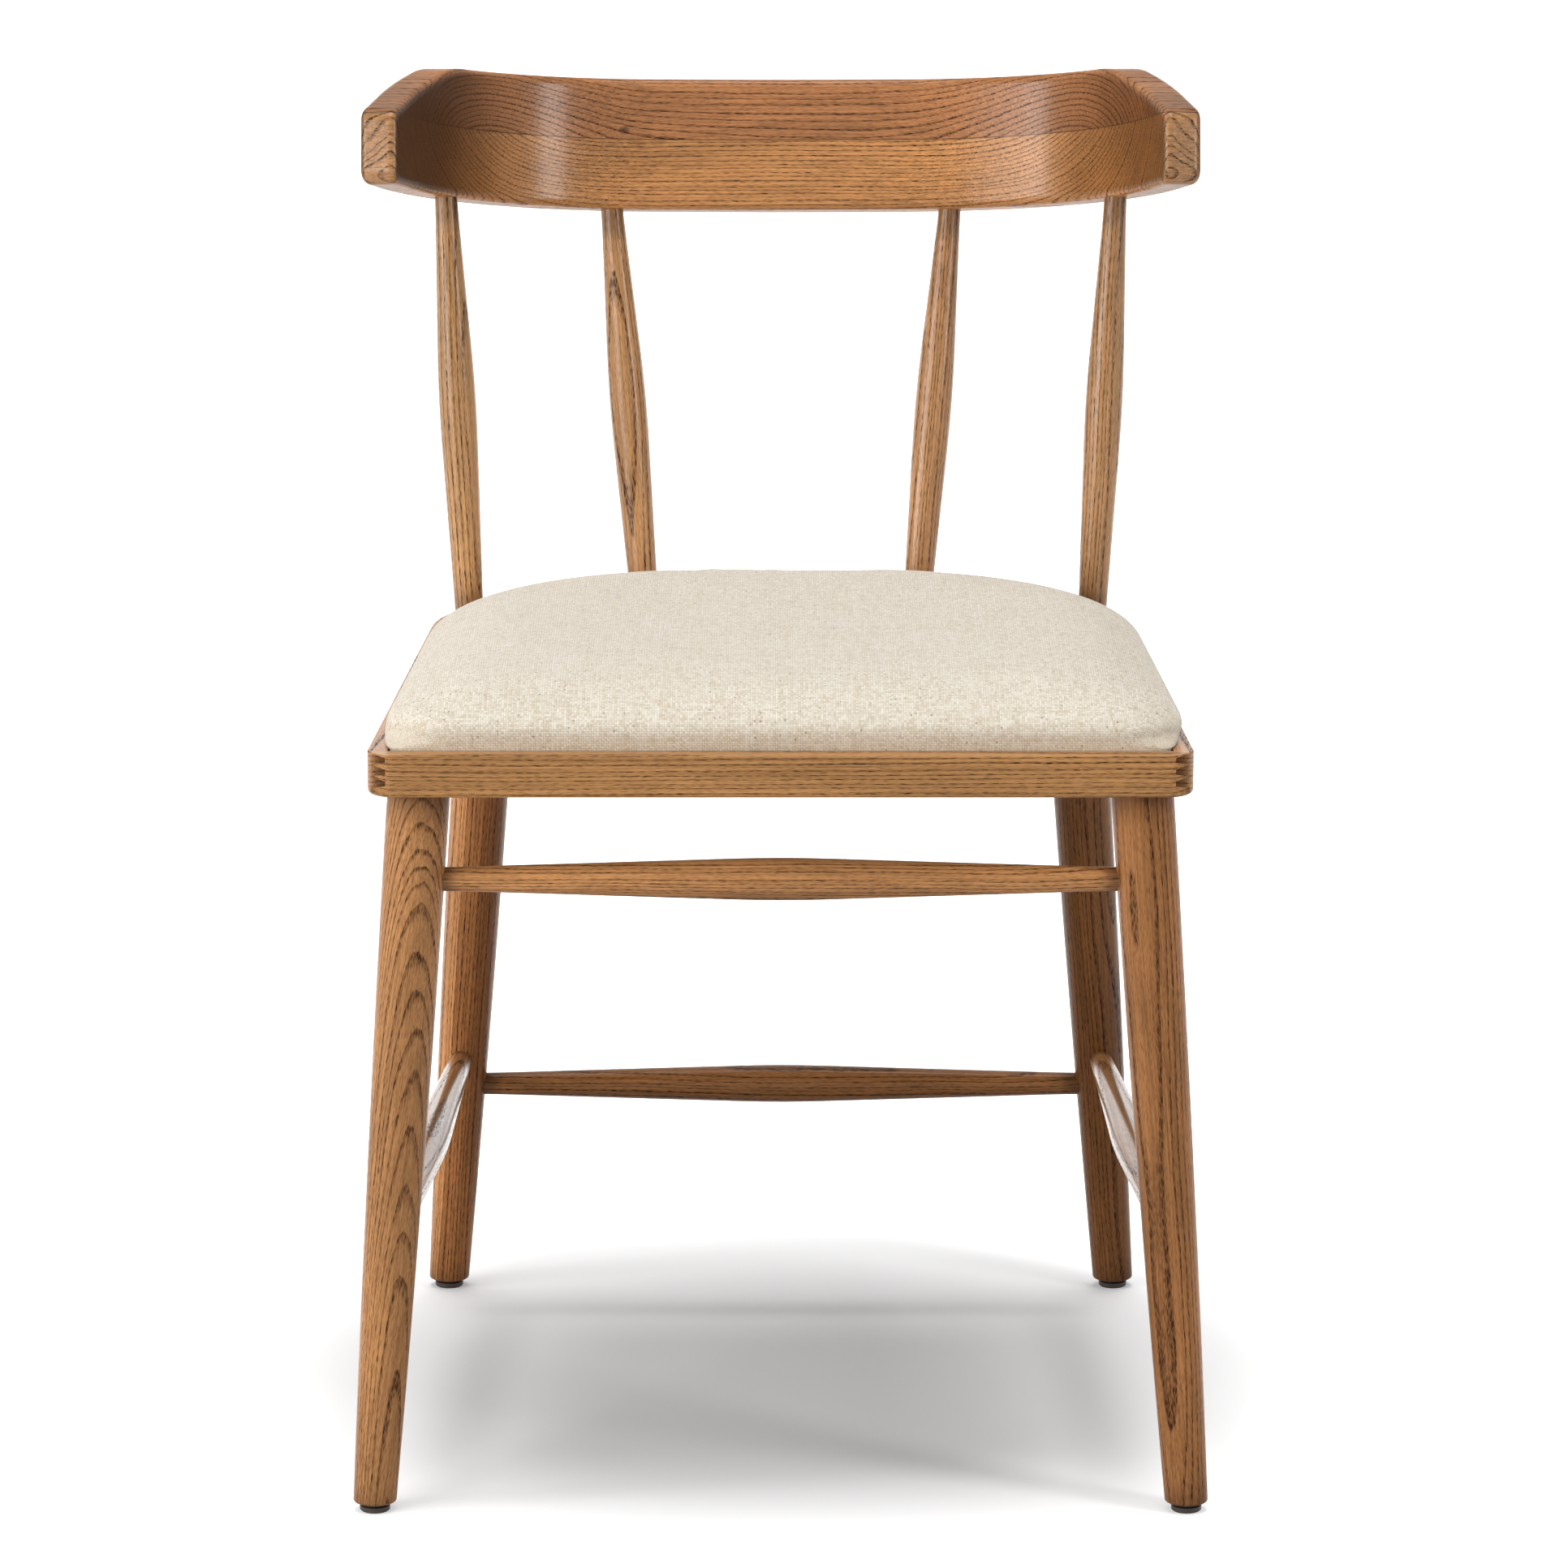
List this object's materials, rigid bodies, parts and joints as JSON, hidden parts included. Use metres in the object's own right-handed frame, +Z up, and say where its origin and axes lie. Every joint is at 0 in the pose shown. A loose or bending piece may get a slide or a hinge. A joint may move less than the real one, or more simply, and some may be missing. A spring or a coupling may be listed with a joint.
{
  "type": "armchair",
  "caption": "Wooden armchair with a bent two-layer crest rail on turned spindles, splayed round legs with turned stretchers and a crowned linen drop-in seat.",
  "frame": {"origin": "on the floor under the middle of the chair's plan box", "axes": "+X to the right seen from the front, +Y to the back, +Z up; the sitter faces -Y"},
  "size_m": [0.512, 0.5304, 0.7931],
  "materials": {
    "stained_wood": "ash, stained brown, satin lacquer with open pores",
    "raw_wood": "unfinished birch blocks and plywood",
    "linen": "plain-woven oatmeal linen with brown flecks",
    "foam": "upholstery foam",
    "dust_cloth": "black spun-bonded cloth",
    "glide": "dark brown moulded nylon",
    "steel": "zinc-plated screws, nails and staples"
  },
  "bodies": {
    "root": {"back_rail": "stained_wood", "cleat_screws": "steel", "corner_block_screws": "steel", "cover_staples": "steel", "crest_lower": "stained_wood", "crest_upper": "stained_wood", "dust_cover": "dust_cloth", "front_left_glide": "glide", "front_left_leg": "stained_wood", "front_rail": "stained_wood", "front_right_glide": "glide", "front_right_leg": "stained_wood", "front_stretcher": "stained_wood", "glide_nails": "steel", "inner_left_spindle": "stained_wood", "inner_right_spindle": "stained_wood", "left_corner_block": "raw_wood", "left_rail": "stained_wood", "left_stretcher": "stained_wood", "outer_left_spindle": "stained_wood", "outer_right_spindle": "stained_wood", "rear_cleat": "raw_wood", "rear_left_glide": "glide", "rear_left_leg": "stained_wood", "rear_right_glide": "glide", "rear_right_leg": "stained_wood", "rear_stretcher": "stained_wood", "right_corner_block": "raw_wood", "right_rail": "stained_wood", "right_stretcher": "stained_wood", "seat_cover": "linen", "seat_deck": "raw_wood", "seat_foam": "foam", "seat_screws": "steel"}
  },
  "joints": []
}
